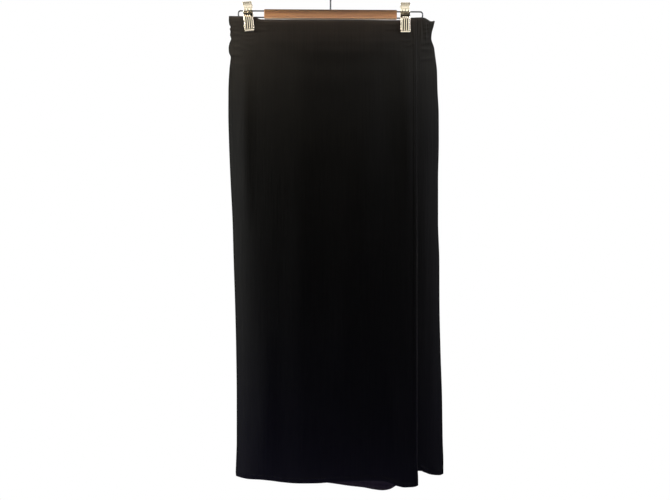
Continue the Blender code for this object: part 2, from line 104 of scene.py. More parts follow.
# X and drop along each edge that isn't level
edges = {
    "top": ((-214, 0), (-188, 0.4), (-161, 1.4), (-146, 7), (-60, 7.8), (45, 8.2), (133, 9.3),
            (148, 8.6), (165, 7.2), (174, 4.8), (181, 3.2), (189, 3), (197, 3.8), (203, 6.8),
            (211, 11.2), (219, 10.2)),
    "waistbandTop": ((-214, 0), (-188, 0.6), (-161, 3), (-144, 8.5), (-100, 10.5), (60, 11.5),
                     (133, 9.5), (168, 6.2), (189, 3.4), (204, 6.9), (211, 11.2), (219, 10.2)),
    "wrapHem": ((-199, 965.6), (-186, 968.1), (-170, 969.7), (-150, 969.6), (-125, 971),
                (-100, 973.6), (-70, 975.2), (-30, 974.6), (0, 972.5), (40, 970.5), (80, 969.5),
                (108, 970.5), (122, 974), (138, 981), (155, 984.5), (170, 984.3), (178, 983),
                (184, 980)),
    "underlapHem": ((-48, 946), (60, 948), (178, 951), (188, 951.6), (196, 954.8), (209, 960),
                    (222, 962.5), (230, 963.2), (237, 961.2)),
    "backHem": ((-199, 965), (-170, 971), (-130, 975), (-90, 979.4), (-50, 983.6), (0, 989),
                (40, 994.8), (70, 998), (95, 1002.3), (110, 1003.6), (123, 1001.8), (138, 994),
                (160, 973), (178, 957), (196, 951.5), (215, 956.5), (236, 960.5)),
}

# Soft folds: X at the top, lean to +X by the foot, half width, height outwards, and the drops
# where it starts and has died away
frontFolds = (
    (-150, 6, 26, -0.5, 60, 560), (-96, 4, 30, 0.4, 90, 700), (-30, 10, 42, -1.8, 260, 990),
    (62, -8, 36, 1.6, 180, 900), (118, 6, 24, -1.4, 70, 480),
)
backFolds = (
    (-178, 4, 15, 2.4, 46, 420), (-146, -6, 17, 3.6, 42, 600), (-108, 4, 15, 3, 42, 380),
    (-70, -3, 18, 4.6, 42, 760), (-28, 6, 16, 3.4, 42, 450), (10, -5, 19, 4.8, 42, 820),
    (52, 4, 16, 3.2, 42, 400), (90, 8, 18, 4.2, 42, 680), (128, -4, 15, 3, 42, 360),
    (164, 5, 17, 3.6, 42, 560), (198, 3, 13, 2, 46, 340),
)

# Creases: three points of a bent line as X and drop, half width, height outwards
frontCreases = (
    # small arcs under the left clip's lip
    (-187, 37, -173, 45, -158, 37, 1.8, 0.75), (-190, 43, -172, 55, -153, 44, 2.4, 0.6),
    (-192, 53, -171, 68, -150, 54, 3.4, 0.45),
    # pulls from the left clip along the top edge
    (-161, 11, -146, 14, -126, 13, 1.7, 0.7), (-161, 17, -143, 21, -118, 18, 1.9, 0.6),
    (-161, 25, -146, 30, -130, 29, 2.2, 0.5), (-129, 15, -128, 23, -127, 33, 1.8, 0.45),
    (-119, 16, -118, 23, -119, 31, 1.8, 0.35),
    # under the right clip
    (145, 43, 157, 37, 170, 44, 1.8, 0.7), (143, 49, 158, 57, 173, 48, 2.3, 0.6),
    (150, 61, 164, 68, 180, 55, 2.8, 0.45), (146, 16, 130, 20, 108, 16, 1.8, 0.5),
    (146, 25, 128, 31, 110, 28, 2.2, 0.4),
    # puckers at the left side seam, which the elastic draws up
    (-214, 10, -203, 13, -188, 12, 2, 0.7), (-213, 19, -200, 22, -191, 20, 1.9, 0.8),
    (-212, 26, -202, 30, -186, 29, 1.8, 0.7), (-213, 38, -198, 37, -180, 41, 2.6, 0.9),
    (-212, 52, -200, 49, -184, 51, 2.6, 0.7), (-214, 63, -196, 64, -172, 71, 3.4, 0.9),
    (-213, 82, -200, 80, -184, 84, 3.4, 0.7), (-212, 99, -194, 103, -168, 104, 4.5, 0.8),
    # the same at the right side seam
    (216, 17, 205, 16, 194, 21, 1.8, 0.5), (216, 24, 206, 26, 193, 27, 1.7, 0.45),
    (214, 34, 203, 33, 190, 38, 2, 0.5), (214, 43, 204, 46, 192, 45, 2.2, 0.5),
    (216, 56, 202, 55, 189, 62, 2.8, 0.6), (219, 70, 204, 72, 188, 71, 3.2, 0.6),
    (221, 90, 203, 88, 186, 95, 3.8, 0.6),
    # gathers between the right clip and the side seam
    (172, 8, 173, 28, 176, 52, 2, 0.4), (184.5, 3, 185, 20, 184, 46, 1.8, 0.7),
    (189, 3, 190.5, 22, 190, 58, 1.9, 0.9), (194, 3, 195.5, 18, 197, 40, 1.8, 0.7),
    (198.5, 4, 200.5, 22, 201, 62, 2, 0.9), (203.5, 7, 205, 22, 207, 44, 1.7, 0.7),
    (208.5, 10, 209.5, 26, 209, 50, 1.5, 0.6),
    # wide swags from the clips, and long soft bends below them
    (-160, 30, -40, 96, 96, 60, 13, 0.9), (146, 36, 30, 118, -110, 70, 16, 0.9),
    (-168, 74, -20, 190, 140, 92, 24, 1.1), (-176, 60, -182, 240, -172, 470, 13, 1.2),
    (158, 64, 166, 230, 160, 440, 12, 1.1), (-60, 240, -40, 420, -52, 640, 30, 1),
    (40, 520, 20, 740, 36, 950, 28, 0.9), (-140, 640, -128, 800, -146, 960, 20, 1),
    (120, 700, 132, 830, 128, 975, 15, 1.1),
    # the hem's roll towards the wrap's corner
    (104, 964, 122, 966, 140, 975, 2.4, 1.1), (132, 974, 152, 979, 179, 977, 2, 0.8),
    (-196, 955, -176, 957, -150, 961, 3, 0.7), (-90, 962, -40, 966, 10, 963, 3.4, 0.5),
    # and the inner panel's puckers at its seam
    (184, 938, 190, 944, 197, 946, 1.8, 0.7), (206, 944, 216, 951, 230, 952, 2.2, 0.7),
    (196, 320, 200, 520, 197, 760, 9, 0.4), (212, 420, 216, 640, 214, 900, 8, 0.6),
)
backCreases = (
    (-190, 60, -150, 108, -96, 120, 7, 1.2), (-120, 70, -70, 130, -6, 116, 9, 1.1),
    (-30, 66, 30, 122, 96, 104, 8, 1.2), (70, 72, 120, 126, 186, 110, 8, 1),
    (-60, 230, -20, 420, -44, 700, 22, 1.4), (60, 300, 76, 520, 58, 860, 24, 1.3),
    (-150, 420, -136, 640, -158, 930, 20, 1.3), (150, 380, 162, 600, 148, 900, 18, 1.2),
    (-20, 760, 10, 870, 2, 980, 16, 1), (206, 18, 196, 21, 182, 20, 2, 0.7),
    (-206, 20, -196, 18, -182, 23, 2, 0.7), (214, 64, 198, 66, 176, 76, 3.2, 0.9),
    (-208, 66, -192, 70, -170, 68, 3.2, 0.9), (-190, 958, -160, 962, -120, 966, 3, 0.9),
    (88, 988, 112, 994, 132, 982, 3, 1.1), (150, 966, 176, 948, 206, 948, 3.4, 0.9),
)

# ---- tables and curves, all on numpy arrays of millimetres


def ease(t):
    t = np.clip(t, 0, 1)
    return t * t * (3 - 2 * t)


def smoothLine(points):
    # a curve through given points that never swings past them
    places, values = (np.array(column, float) for column in zip(*points))
    steps = np.diff(places)
    slopes = np.diff(values) / steps
    same = slopes[:-1] * slopes[1:] > 0
    mean = np.where(same, slopes[:-1] + slopes[1:], 1)
    inner = np.where(same, 2 * slopes[:-1] * slopes[1:] / mean, 0)
    tangents = np.concatenate([slopes[:1], inner, slopes[-1:]])

    def at(place):
        place = np.clip(place, places[0], places[-1])
        i = np.clip(np.searchsorted(places, place) - 1, 0, len(steps) - 1)
        t = (place - places[i]) / steps[i]
        rise = values[i + 1] - values[i]
        bend = (tangents[i] * (1 - t) - tangents[i + 1] * t) * steps[i] * t * (1 - t)
        return values[i] + rise * ease(t) + bend

    return at


def byDrop(column):
    return smoothLine([(row[0], row[column]) for row in sideRows])


leftSeam, rightSeam, frontBulge, backBulge = (byDrop(column) for column in (1, 2, 3, 4))
edgeAt = {name: smoothLine(points) for name, points in edges.items()}


def alongBend(bent, steps=20):
    t = np.linspace(0, 1, steps)
    weights = ((1 - t) ** 2, 2 * t * (1 - t), t * t)
    return sum(np.outer(w, p) for w, p in zip(weights, zip(bent[::2], bent[1::2])))


def creaseHeights(creases, x, drop):
    # each crease is a soft ridge round a bent line, fading at both ends
    total = np.zeros_like(x)
    for *bent, halfWidth, height in creases:
        line = alongBend(bent)
        low, high = line.min(0) - 3 * halfWidth, line.max(0) + 3 * halfWidth
        near = (x > low[0]) & (x < high[0]) & (drop > low[1]) & (drop < high[1])
        if not near.any():
            continue
        px, pd = x[near][:, None], drop[near][:, None]
        step = np.diff(line, axis=0)
        reach = (px - line[:-1, 0]) * step[:, 0] + (pd - line[:-1, 1]) * step[:, 1]
        share = np.clip(reach / (step**2).sum(1), 0, 1)
        off = (px - line[:-1, 0] - share * step[:, 0]) ** 2
        off += (pd - line[:-1, 1] - share * step[:, 1]) ** 2
        nearest = off.argmin(1)
        rows = np.arange(len(nearest))
        along = (nearest + share[rows, nearest]) / len(step)
        fade = np.sin(np.pi * np.clip(along, 0, 1)) ** 0.8
        total[near] += height * fade * np.exp(-off[rows, nearest] / halfWidth**2)
    return total


def foldHeights(folds, x, drop):
    total = np.zeros_like(x)
    for foldX, lean, halfWidth, height, start, end in folds:
        along = np.clip((drop - start) / (end - start), 0, 1)
        fade = ease(along / 0.12) * (1 - ease((along - 0.25) / 0.75))
        off = (x - foldX - lean * along) / halfWidth
        total += height * fade * np.exp(-off * off)
    return total


# ---- the form of the cloth: Y of each panel's middle surface


def acrossTube(x, drop):
    left, right = leftSeam(drop), rightSeam(drop)
    return np.clip((2 * x - left - right) / (right - left), -1, 1)


def tubeProfile(across):
    crown, rounded = 1 - across**2, 1 - np.abs(across) ** skirt["roundPower"]
    return (1 - skirt["roundShare"]) * crown + skirt["roundShare"] * rounded


def fromSeam(x, drop):
    return np.maximum(0, np.minimum(x - leftSeam(drop), rightSeam(drop) - x))


def sewnApart(x, drop, apart, radius=skirt["seamRound"]):
    # the layers lie apart, but their rolled edges meet in a sewn side seam
    away = np.clip(fromSeam(x, drop) / radius, 0, 1)
    rim = skirt["sewnTight"] * apart
    return rim + (apart - rim) * np.sqrt(1 - (1 - away) ** 2)


def flatAtSeam(x, drop):
    return ease(fromSeam(x, drop) / skirt["seamFlat"])


def foldFade(x, drop):
    return ease((1 - np.abs(acrossTube(x, drop))) / skirt["seamFade"])


def frontY(x, drop):
    bulge = frontBulge(drop) * tubeProfile(acrossTube(x, drop))
    bulge += foldHeights(frontFolds, x, drop) * foldFade(x, drop)
    bulge += creaseHeights(frontCreases, x, drop) * flatAtSeam(x, drop)
    apart = sewnApart(x, drop, (skirt["layer"] + skirt["seamGap"]) / 2)
    return -skirt["forward"] - apart - np.maximum(0, bulge)


def freeEdge(drop):
    flare = ease((drop - skirt["flareStart"]) / skirt["flareHeight"])
    return skirt["wrapEdge"] + skirt["cornerFlare"] * flare


def climb(x):
    start = skirt["underlapEdge"] - skirt["underlapRamp"]
    rise = ease((x - start) / (skirt["underlapRamp"] - skirt["rampClear"]))
    return (skirt["layer"] + skirt["overlapGap"]) * rise


def wrapY(x, drop):
    return frontY(x, drop) - climb(x)


def backSwing(x, drop):
    low = clips["left"]["x"] + clipWidth / 2
    high = clips["right"]["x"] - clipWidth / 2
    off = (2 * x - low - high) / (high - low)
    swing = skirt["backSag"] * np.maximum(0, 1 - off * off) ** skirt["backSagPower"]
    tube = backBulge(drop) * tubeProfile(acrossTube(x, drop))
    opened = ease((drop - skirt["clamped"]) / skirt["openingOut"])
    return (1 - opened) * np.maximum(swing, tube) + opened * tube


def waistbandSeam(x):
    dip = ease((x - skirt["bandDipStart"]) / skirt["bandDipWidth"])
    return skirt["casingDepth"] + skirt["bandDip"] * dip


gathers = {
    "count": 30,  # across the elastic
    "height": 1.1,
    "wander": ((3, 0.012, 0.4), (7, 0.006, 2.1), (13, 0.0032, 4.4)),  # how uneven they are
    "seamRound": 0.5,
    "clipFade": 9,  # they start this far beside a clip
    "pressedX": 134,  # past this X, down to pressedDrop, they are pressed flatter
    "pressedDrop": 24,
    "pressedShare": 0.35,
    "rows": (4.5, -5),  # sewn lines, below the top and above the seam
    "rowEnds": (-198, 204),
    "rowWidth": 1.3,  # a sewn line draws the casing in
    "rowDepth": 0.25,
    "rowFlat": 0.75,
    "frillHeight": 0.5,  # small waves of the frill above the upper line
    "frillShift": 3.1,
    "frillLean": 0.2,
    "frillStart": 6,
    "frillFade": 8,
    "below": 52,  # how far the puckers run down the back panel
    "belowHeight": 0.9,
}


def casingRows(x):
    return edgeAt["waistbandTop"](x) + gathers["rows"][0], waistbandSeam(x) + gathers["rows"][1]


def gatherWave(x, drop):
    # uneven gathers: a cosine whose pitch wanders
    u = (acrossTube(x, drop) + 1) / 2
    wander = (size * np.sin(2 * np.pi * rate * u + start) for rate, size, start in gathers["wander"])
    return 0.5 - 0.5 * np.cos(2 * np.pi * gathers["count"] * (u + sum(wander)))


def backY(x, drop):
    below = drop - waistbandSeam(x)
    step = (skirt["casing"] - skirt["layer"]) / 2 * (1 - ease(below / skirt["stepFade"]))
    ridge = creaseHeights(backCreases, x, drop) * flatAtSeam(x, drop)
    ridge += foldHeights(backFolds, x, drop) * foldFade(x, drop)
    pucker = gatherWave(x, drop) * (1 - ease(below / gathers["below"])) * foldFade(x, drop)
    apart = sewnApart(x, drop, (skirt["layer"] + skirt["seamGap"]) / 2 + step)
    swing = backSwing(x, drop) + ridge + gathers["belowHeight"] * pucker
    return apart + swing - skirt["forward"]


def waistbandY(x, drop):
    apart = sewnApart(x, drop, (skirt["casing"] + skirt["seamGap"]) / 2, gathers["seamRound"])
    middle = apart + backSwing(x, drop) - skirt["forward"]
    held = np.zeros_like(x)
    for one in clips.values():
        off = np.abs(x - one["x"]) - clipWidth / 2
        held = np.maximum(held, 1 - ease(off / gathers["clipFade"]))
    nearClip = (np.abs(x) > gathers["pressedX"]) & (drop < gathers["pressedDrop"])
    pressed = np.where(nearClip, gathers["pressedShare"], 1)
    drawn = sum(np.exp(-(((drop - row) / gathers["rowWidth"]) ** 2)) for row in casingRows(x))
    wave = gatherWave(x, drop) * (1 - gathers["rowFlat"] * np.minimum(1, drawn))
    frill = gatherWave(x + gathers["frillShift"], drop * gathers["frillLean"])
    frill *= 1 - ease((drop - gathers["frillStart"]) / gathers["frillFade"])
    wave += frill * gathers["frillHeight"]
    wave = gathers["height"] * wave * (1 - held) * pressed - gathers["rowDepth"] * drawn
    return middle + wave * flatAtSeam(x, drop)


# ---- helpers


def linearColor(hexColor):
    # sRGB hex to the linear values that the sockets take
    parts = [int(hexColor[i : i + 2], 16) / 255 for i in (1, 3, 5)]
    return (*[c / 12.92 if c <= 0.04045 else ((c + 0.055) / 1.055) ** 2.4 for c in parts], 1)


def setInputs(node, settings):
    for name, value in settings.items():
        isHex = isinstance(value, str)
        node.inputs[name].default_value = linearColor(value) if isHex else value


def linkInputs(tree, node, links):
    # an input is fed by an output, or by a node's first output in use
    for name, source in links.items():
        outputs = [out for out in getattr(source, "outputs", [source]) if out.enabled]
        tree.links.new(outputs[0], node.inputs[name])


def addNode(tree, kind, settings=(), links=()):
    # settings name an input or a property of the node
    node = tree.nodes.new("ShaderNode" + kind)
    settings = dict(settings)
    for name in [name for name in settings if hasattr(node, str(name))]:
        setattr(node, name, settings.pop(name))
    setInputs(node, settings)
    linkInputs(tree, node, dict(links))
    return node


def newMaterial(name, settings):
    material = bpy.data.materials.new(name)
    material.use_nodes = True
    tree = material.node_tree
    shader = tree.nodes["Principled BSDF"]
    setInputs(shader, settings)
    return material, tree, shader


def meshFrom(bm, name, smoothAngle=40):
    mesh = bpy.data.meshes.new(name)
    bm.to_mesh(mesh)
    bm.free()
    mesh.shade_smooth()
    if smoothAngle:
        mesh.set_sharp_from_angle(angle=math.radians(smoothAngle))
    return mesh


def newObject(name, data):
    obj = bpy.data.objects.new(name, data)
    bpy.context.scene.collection.objects.link(obj)
    return obj


def finishPiece(obj, slotName, materials, *nodes):
    for material in materials:
        obj.data.materials.append(material)
    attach(obj, "root")
    if nodes:
        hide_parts(*nodes)
    return obj


def addPiece(bm, name, smoothAngle, slotName, material, *nodes):
    obj = newObject(name, meshFrom(bm, name, smoothAngle))
    return finishPiece(obj, slotName, [material], *nodes)


# ---- materials


def makeCrepe(name, darkHex, lightHex, sheen, tintHex):
    # Piece-dyed polyester crepe: hard-twisted yarns give a fine pebble and upright crinkles, so
    # it drinks light from the front and greys softly where it turns away.
    material, tree, shader = newMaterial(name, {
        "Roughness": 0.82,
        "IOR": 1.5,
        "Specular IOR Level": 0.025,
        "Sheen Weight": sheen,
        "Sheen Roughness": 0.42,
        "Sheen Tint": tintHex,
    })
    place = addNode(tree, "UVMap", {"uv_map": "cut"})
    upright = addNode(tree, "Mapping", {"Scale": (1, 0.035, 1)}, {"Vector": place})
    # yarn pebble of 0.6 mm, drawn at 1.1 mm so that it shows
    pebble = addNode(tree, "TexNoise",
                     {"Scale": 900, "Detail": 4, "Roughness": 0.62}, {"Vector": place})
    # upright crinkles 3 to 4 mm wide and a hand long
    crinkle = addNode(tree, "TexNoise",
                      {"Scale": 280, "Detail": 3, "Roughness": 0.55}, {"Vector": upright})
    cloud = addNode(tree, "TexNoise", {"Scale": 16}, {"Vector": place})
    both = addNode(tree, "Math", {"operation": "MULTIPLY"}, {0: crinkle, 1: pebble})
    shade = addNode(tree, "Math", {"operation": "MULTIPLY_ADD", 1: 0.35}, {0: cloud, 2: both})
    spread = addNode(tree, "MapRange", {"From Min": 0.26, "From Max": 0.6}, {"Value": shade})
    color = addNode(tree, "Mix", {"data_type": "RGBA", 6: darkHex, 7: lightHex}, {0: spread})
    # a painted highlight: grey mixed in along the turned edges as painted sheen
    paintedSheen = addNode(tree, "Attribute", {"attribute_name": "paintedSheen"})
    paintedHighlight = addNode(tree, "Mix", {"data_type": "RGBA", 7: "#53514f"},
                     {0: paintedSheen.outputs["Fac"], 6: color})
    # painted shade: near black mixed in along the side seams and the free edge's upper part
    rim = addNode(tree, "Attribute", {"attribute_name": "rim"})
    paintedShadeShare = addNode(tree, "Math", {"operation": "MULTIPLY", 1: 0.85}, {0: rim.outputs["Fac"]})
    shaded = addNode(tree, "Mix", {"data_type": "RGBA", 7: "#030303"}, {0: paintedShadeShare, 6: paintedHighlight})
    rough = addNode(tree, "MapRange", {"To Min": 0.9, "To Max": 0.72}, {"Value": crinkle})
    fine = addNode(tree, "Bump", {"Strength": 0.5, "Distance": 0.12 * mm}, {"Height": pebble})
    coarse = addNode(tree, "Bump", {"Strength": 0.6, "Distance": 0.45 * mm},
                     {"Height": crinkle, "Normal": fine})
    linkInputs(tree, shader, {"Base Color": shaded, "Roughness": rough, "Normal": coarse})
    return material


def makeThread():
    # spun polyester sewing thread, dyed with the cloth but a touch glossier
    material, tree, shader = newMaterial("black spun polyester thread", {
        "Base Color": "#222222",
        "Roughness": 0.6,
        "IOR": 1.5,
        "Specular IOR Level": 0.15,
        "Sheen Weight": 0.05,
    })
    place = addNode(tree, "TexCoord").outputs["Object"]
    twist = addNode(tree, "TexNoise", {"Scale": 2600}, {"Vector": place})
    twisted = addNode(tree, "Bump", {"Strength": 0.5, "Distance": 0.05 * mm}, {"Height": twist})
    linkInputs(tree, shader, {"Normal": twisted})
    return material


def makeBeech():
    # Satin-lacquered beech: warm tan, long soft growth bands and short dark ray flecks.
    material, tree, shader = newMaterial("satin lacquered beech", {
        "Roughness": 0.42,
        "IOR": 1.5,
        "Coat Weight": 0.15,
        "Coat Roughness": 0.22,
    })
    place = addNode(tree, "TexCoord").outputs["Object"]
    lengthwise = addNode(tree, "Mapping", {"Scale": (0.05, 1, 1)}, {"Vector": place})
    bands = addNode(tree, "TexNoise",
                    {"Scale": 170, "Detail": 4, "Roughness": 0.55, "Distortion": 0.6},
                    {"Vector": lengthwise})
    short = addNode(tree, "Mapping", {"Scale": (0.22, 1, 1)}, {"Vector": place})
    flecks = addNode(tree, "TexNoise", {"Scale": 1500, "Detail": 1}, {"Vector": short})
    bandShare = addNode(tree, "MapRange", {"From Min": 0.3, "From Max": 0.7}, {"Value": bands})
    fleckShare = addNode(tree, "MapRange", {"From Min": 0.6, "From Max": 0.74, "To Max": 0.55},
                         {"Value": flecks})
    base = addNode(tree, "Mix", {"data_type": "RGBA", 6: "#96643a", 7: "#b6864e"}, {0: bandShare})
    color = addNode(tree, "Mix", {"data_type": "RGBA", 7: "#6e452a"}, {0: fleckShare, 6: base})
    # painted shade darkens the top arris and a painted highlight makes the bottom one pale
    height = addNode(tree, "Attribute", {"attribute_name": "height"}).outputs["Fac"]
    paintedTopShade = addNode(tree, "MapRange", {"From Min": 0.9, "From Max": 0.99, "To Max": 0.8},
                      {"Value": height})
    topped = addNode(tree, "Mix", {"data_type": "RGBA", 7: "#4a2e1a"}, {0: paintedTopShade, 6: color})
    low = addNode(tree, "MapRange", {"From Min": 0.13, "From Max": 0.07, "To Max": 0.6},
                  {"Value": height})
    paintedHighlight = addNode(tree, "Mix", {"data_type": "RGBA", 7: "#d9b184"}, {0: low, 6: topped})
    relief = addNode(tree, "Bump", {"Strength": 0.35, "Distance": 0.08 * mm}, {"Height": bands})
    linkInputs(tree, shader, {"Base Color": paintedHighlight, "Normal": relief})
    return material


def makeMetal(name, darkHex, lightHex, roughness, scratchScale, grooveHex=None):
    material, tree, shader = newMaterial(name, {"Metallic": 1})
    place = addNode(tree, "TexCoord").outputs["Object"]
    along = addNode(tree, "Mapping", {"Scale": scratchScale}, {"Vector": place})
    cloud = addNode(tree, "TexNoise", {"Scale": 220, "Detail": 3}, {"Vector": place})
    scratch = addNode(tree, "TexNoise", {"Scale": 1800}, {"Vector": along})
    color = addNode(tree, "Mix", {"data_type": "RGBA", 6: darkHex, 7: lightHex}, {0: cloud})
    rough = addNode(tree, "MapRange", {"To Min": roughness[0], "To Max": roughness[1]},
                    {"Value": scratch})
    marks = addNode(tree, "Bump", {"Strength": 0.2, "Distance": 0.03 * mm}, {"Height": scratch})
    if grooveHex:  # the pressed grooves are darker: partly tarnish and old polish, partly painted shade
        groove = addNode(tree, "Attribute", {"attribute_name": "groove"}).outputs["Fac"]
        color = addNode(tree, "Mix", {"data_type": "RGBA", 7: grooveHex}, {0: groove, 6: color})
    linkInputs(tree, shader, {"Base Color": color, "Roughness": rough, "Normal": marks})
    return material


# ---- cloth

sewing = {
    "rimLines": (0, 0.12, 0.35, 0.7, 1.2, 2),  # mesh lines at an edge's rim
    "turnedLines": (-2.4, -1.9, -1.5, -1.1, -0.5, 0, 0.5, 1.1, 2.2),  # and a hem's inner line
    "fineStart": 3.5,
    "seamWall": 0.4,  # share of a turned wall that a seam allowance adds
    "seamStep": 5,  # width over which its inner edge shows through
    "hemStep": 1.8,  # the same for a turned hem
    "stitchWidth": 0.5,
    "stitchDent": 0.2,
    "seamShade": 2.2,  # width of the painted shade along a side seam
    "freeEdgeShade": 0.45,  # painted shade on the free edge's upper part, giving way below to its painted sheen
    "freeEdgeShadeWidth": 1.8,
    "freeEdgeShadeDrop": 150,
    "highlightRise": 600,
    "thinnest": 0.12,  # share of the wall left at a rolled rim
    "stitchHeight": 0.42,  # share of the turned wall, from its middle, where threads lie
}


def linesAlong(length, step, low=0, high=0, fineEnd=0, fineStep=1):
    # positions from 0 to length, crowded at the rims and at the inner line of a turned edge
    # low or high mm deep, and every fineStep mm up to fineEnd
    places = set(sewing["rimLines"]) | {length - place for place in sewing["rimLines"]}
    for off in sewing["turnedLines"]:
        places |= ({low + off} if low else set()) | ({length - high - off} if high else set())
    places |= set(np.arange(sewing["fineStart"], fineEnd, fineStep))
    rimWidth = sewing["rimLines"][-1]
    count = max(2, round((length - 2 * rimWidth) / step)) + 1
    kept = sorted(places)
    for place in np.linspace(rimWidth, length - rimWidth, count):
        if place > fineEnd and min(abs(place - other) for other in kept) > 0.45 * step:
            places.add(place)
    return np.array(sorted(places))


def wallShare(panel, x, drop):
    # the wall's share of the turned wall's thickness, and masks for painted shade at a seam's rim
    # and the free edge's upper part, and for painted sheen along the turned edges
    fromEdge = {
        "left": x - panel["left"](drop),
        "right": panel["right"](drop) - x,
        "top": drop - panel["top"](x),
        "foot": panel["foot"](x) - drop,
    }
    turned, rolled = np.zeros_like(x), np.ones_like(x)
    rim, paintedSheen = np.zeros_like(x), np.zeros_like(x)
    for side, away in fromEdge.items():
        away = np.maximum(0, away)
        depth = panel["turned"].get(side, 0)
        if side in panel["seams"]:
            step = sewing["seamStep"]
            allowance = sewing["seamWall"] * ease((depth + step / 2 - away) / step)
            turned = np.maximum(turned, allowance if depth else 0)
            # painted shade along a side seam
            rim = np.maximum(rim, np.exp(-((away / sewing["seamShade"]) ** 2)))
        elif depth:
            step = sewing["hemStep"]
            stitch = np.exp(-(((away - depth + skirt["stitchInset"]) / sewing["stitchWidth"]) ** 2))
            hem = ease((depth + step / 2 - away) / step) * (1 - sewing["stitchDent"] * stitch)
            turned = np.maximum(turned, hem)
            # painted sheen along a turned edge
            reach, strength = panel["folds"][side]
            edgeSheen = strength * np.exp(-((away / reach) ** 2))
            # the free edge's upper part gets painted shade, and its painted sheen grows in below it
            if side == "right":
                paintedHighlight = ease((drop - sewing["freeEdgeShadeDrop"]) / sewing["highlightRise"])
                upperEdgeShade = sewing["freeEdgeShade"] * (1 - paintedHighlight)
                rim = np.maximum(rim, upperEdgeShade * np.exp(-((away / sewing["freeEdgeShadeWidth"]) ** 2)))
                edgeSheen = edgeSheen * paintedHighlight
            paintedSheen = np.maximum(paintedSheen, edgeSheen)
        radius = skirt["turnedWall"] / 2 * (1 if depth else skirt["cloth"])
        rolled = np.minimum(rolled, np.sqrt(1 - (1 - np.minimum(1, away / radius)) ** 2))
    wall = panel["wall"] + (1 - panel["wall"]) * turned
    return np.clip(wall * np.maximum(sewing["thinnest"], rolled), 0, 1), {"rim": rim, "paintedSheen": paintedSheen}


def makePanel(panel):
    columns, rows = panel["columns"], panel["rows"]
    bm = bmesh.new()
    bmesh.ops.create_grid(bm, x_segments=len(columns) - 1, y_segments=len(rows) - 1, size=1)
    if panel["faces"] == "back":
        bmesh.ops.reverse_faces(bm, faces=bm.faces)
    name = panel["node"] + "_cloth"
    mesh = meshFrom(bm, name, None)
    index = np.arange(len(mesh.vertices))  # from the last row to the first
    across = columns[index % len(columns)] / columns[-1]
    down = rows[::-1][index // len(columns)]
    start = panel["start"]
    x = panel["left"](down + start) * (1 - across) + panel["right"](down + start) * across
    for _ in range(2):  # X and drop depend on each other
        drop = panel["top"](x) + (panel["foot"](x) - panel["top"](x)) * down / rows[-1]
        x = panel["left"](drop) * (1 - across) + panel["right"](drop) * across
    y = panel["depth"](x, drop)
    places = np.stack([x, y, skirt["waistZ"] - drop], axis=1) * mm
    mesh.vertices.foreach_set("co", places.astype(np.float32).ravel())
    share, marks = wallShare(panel, x, drop)
    uvLayer = mesh.uv_layers.new(name="cut")  # metres on the flat cut
    corners = np.zeros(len(mesh.loops), np.int32)
    mesh.loops.foreach_get("vertex_index", corners)
    flat = np.stack([x, -drop], axis=1)[corners] * mm
    uvLayer.data.foreach_set("uv", flat.astype(np.float32).ravel())
    for markName, values in marks.items():
        mark = mesh.attributes.new(markName, "FLOAT", "POINT")
        mark.data.foreach_set("value", values.astype(np.float32))
    mesh.update()
    obj = newObject(name, mesh)
    group = obj.vertex_groups.new(name="wall")
    for index, weight in enumerate(share):
        group.add([index], float(weight), "REPLACE")
    wall = obj.modifiers.new("wall", "SOLIDIFY")
    wall.thickness = panel["thickness"] * mm
    wall.offset = 0
    wall.vertex_group = "wall"
    wall.material_offset = 1
    wall.material_offset_rim = 0
    return obj


def stitchRow(bm, points, outwards, length=2.3, gap=0.7, radius=0.2):
    # one small hump of thread per stitch, sunk a little into the cloth
    points = np.array(points, float)
    travelled = np.concatenate([[0], np.cumsum(np.linalg.norm(np.diff(points, axis=0), axis=1))])
    for start in np.arange(0.6, travelled[-1] - length, length + gap):
        first, last = (Vector([np.interp(at, travelled, column) for column in points.T])
                       for at in (start, start + length))
        along = last - first
        middle = (first + last) / 2 + Vector(outwards) * radius * 0.4
        turn = along.to_track_quat("X", "Z").to_matrix().to_4x4()
        size = Matrix.Diagonal((along.length / 2, radius, radius, 1))
        matrix = Matrix.Translation(middle * mm) @ turn @ Matrix.Scale(mm, 4) @ size
        bmesh.ops.create_icosphere(bm, subdivisions=1, radius=1, matrix=matrix)


def edgeStitches(panel, side, low, high, outwards):
    # points on the outer surface along a turned edge's inner line
    depth = panel["turned"][side] - skirt["stitchInset"]
    t = np.linspace(low, high, 400)
    if side == "foot":
        x, drop = t, panel["foot"](t) - depth
    else:
        x, drop = panel["right"](t) - depth, t
    y = panel["depth"](x, drop) + outwards * skirt["turnedWall"] * sewing["stitchHeight"]
    return np.stack([x, y, skirt["waistZ"] - drop], axis=1)


crepe = makeCrepe("black polyester crepe", "#272727", "#2c2c2b", 0.05, "#b9b3a6")
# the wrong side is lighter: partly its own duller face, partly painted light where the back hem's
# inside shows
crepeInside = makeCrepe("black polyester crepe, wrong side", "#504940", "#605850", 0.08, "#b8a9b0")
thread = makeThread()
print("materials for the cloth are ready")

oneLayer = {
    "slot": "crepe",
    "faces": "front",
    "left": leftSeam,
    "right": rightSeam,
    "wall": skirt["cloth"],
    "thickness": skirt["turnedWall"],
    "start": 0,
}
# the painted sheen along turned edges: reach and strength
hemPaintedSheen, topPaintedSheen = (2, 0.15), (6, 0.28)
# the underlap's columns are wide apart where the wrap hides it
underlapWidth, hiddenTo, shownFrom, shownTo, shownStep = 272, 190, 214, 263, 1.3
hiddenColumns = linesAlong(underlapWidth, 9)
seamColumns = underlapWidth - np.array((8.4, 7.4, 6, 4.4, 3) + sewing["rimLines"][::-1])
underlapColumns = np.concatenate([hiddenColumns[hiddenColumns < hiddenTo],
                                  np.arange(shownFrom, shownTo, shownStep), seamColumns])

